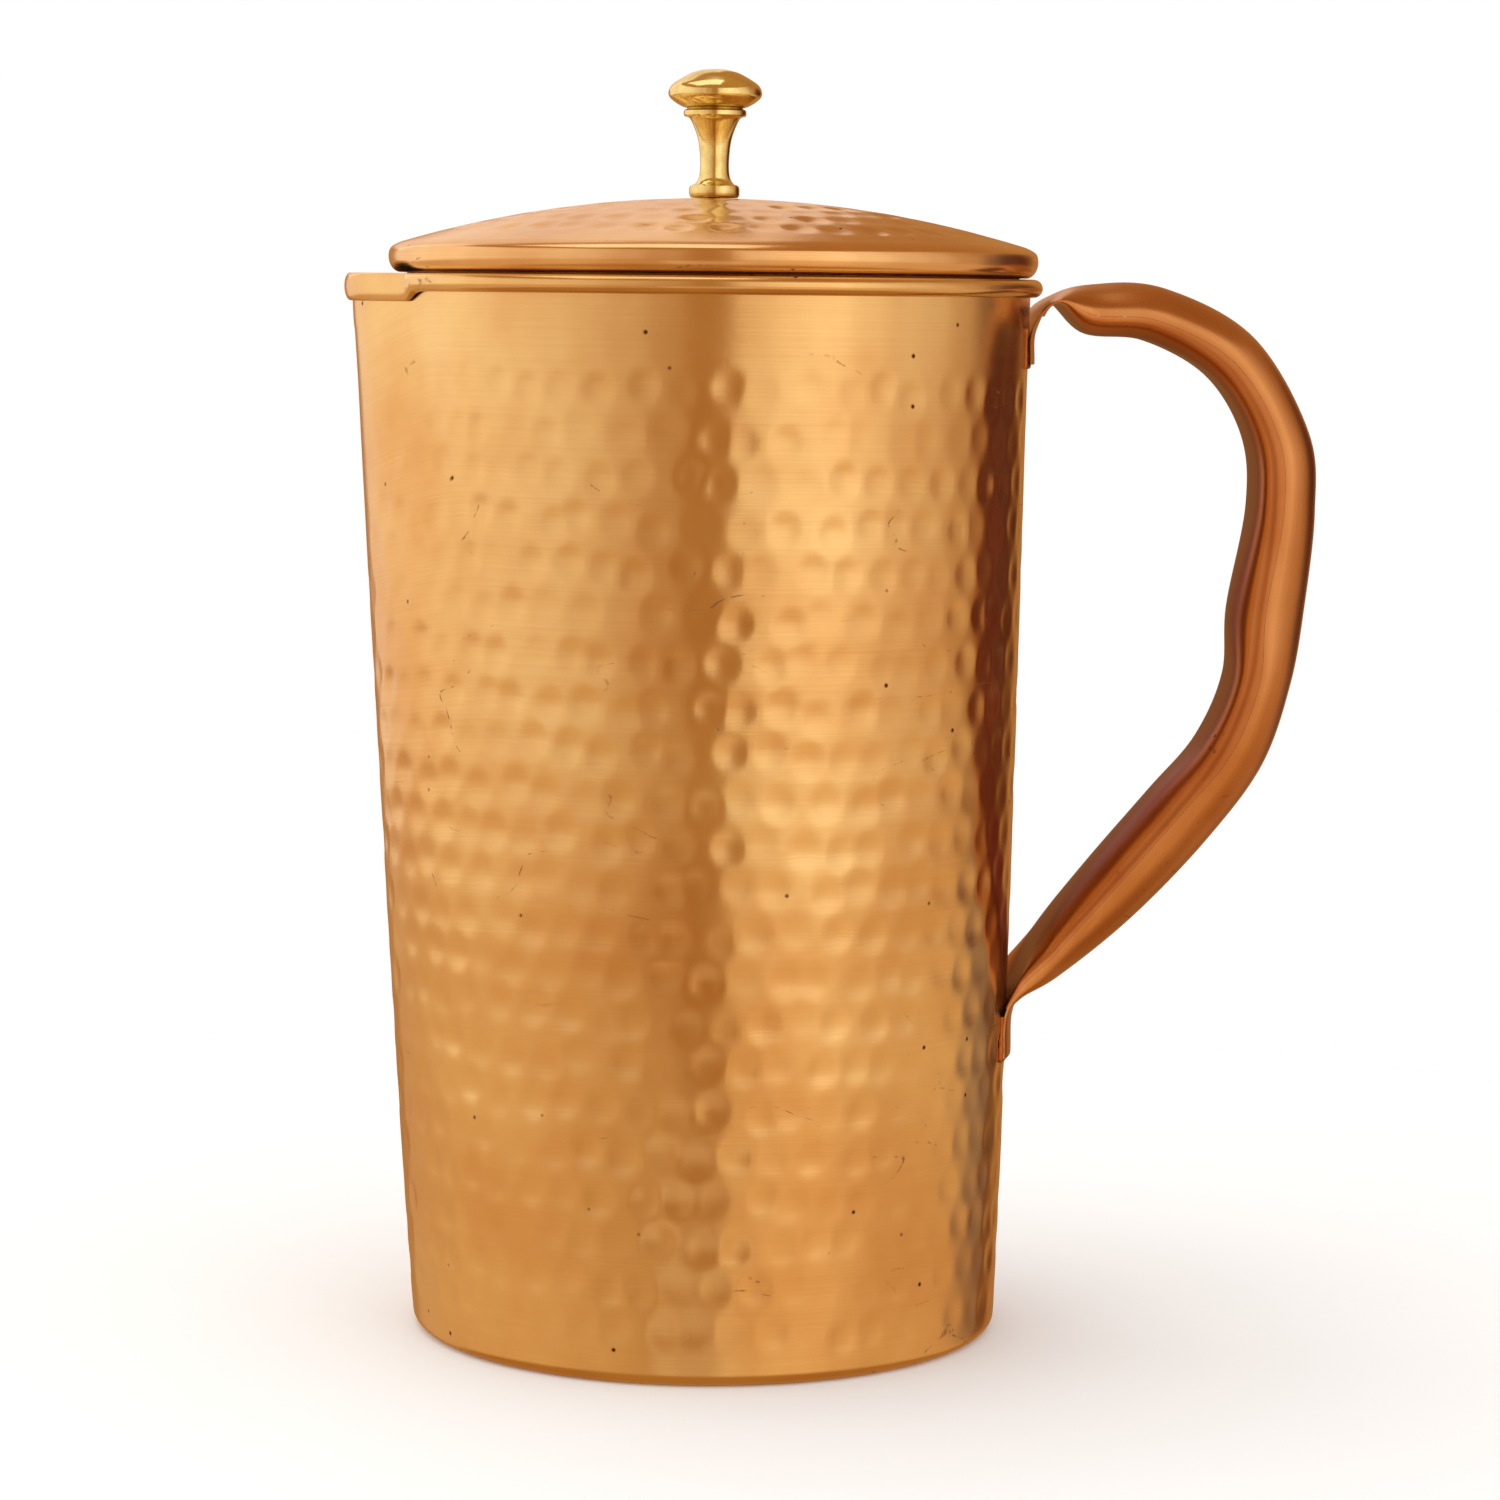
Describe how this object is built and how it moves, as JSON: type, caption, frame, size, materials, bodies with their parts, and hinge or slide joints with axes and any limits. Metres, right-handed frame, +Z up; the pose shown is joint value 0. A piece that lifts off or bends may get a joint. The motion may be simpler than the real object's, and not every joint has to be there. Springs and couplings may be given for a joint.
{
  "type": "copper water jug",
  "caption": "Hammered copper water jug with a pouring beak, a rolled rim, a lift-off domed lid with a turned brass knob, and a hollow finger-dented handle.",
  "frame": {"origin": "centre of the flat underside that the jug stands on", "axes": "+Z up through the lid's knob, handle towards +X, pouring beak towards -X"},
  "size_m": [0.1911, 0.1286, 0.247],
  "materials": {
    "body_copper": "hammered satin copper sheet, finely brushed round the body",
    "base_copper": "plain satin copper sheet",
    "lid_copper": "hammered satin copper sheet with a smooth rolled edge",
    "handle_copper": "pressed satin copper sheet, smooth",
    "knob_brass": "turned and polished brass",
    "washer_brass": "stamped brass",
    "screw_steel": "plated steel pan-head screw",
    "rim_wire_steel": "galvanised wire, hidden inside the rolled rim"
  },
  "bodies": {
    "jug": {"body_wall": "body_copper", "base_pan": "base_copper", "rim_wire": "rim_wire_steel", "handle_outer_shell": "handle_copper", "handle_inner_shell": "handle_copper"},
    "lid": {"lid_dome": "lid_copper", "lid_collar": "lid_copper", "knob": "knob_brass", "knob_washer": "washer_brass", "knob_screw": "screw_steel"}
  },
  "joints": [
    {"name": "lid_lift", "type": "slide", "parent": "jug", "child": "lid", "axis": [0, 0, 1], "range_m": [0, 0.08]}
  ]
}
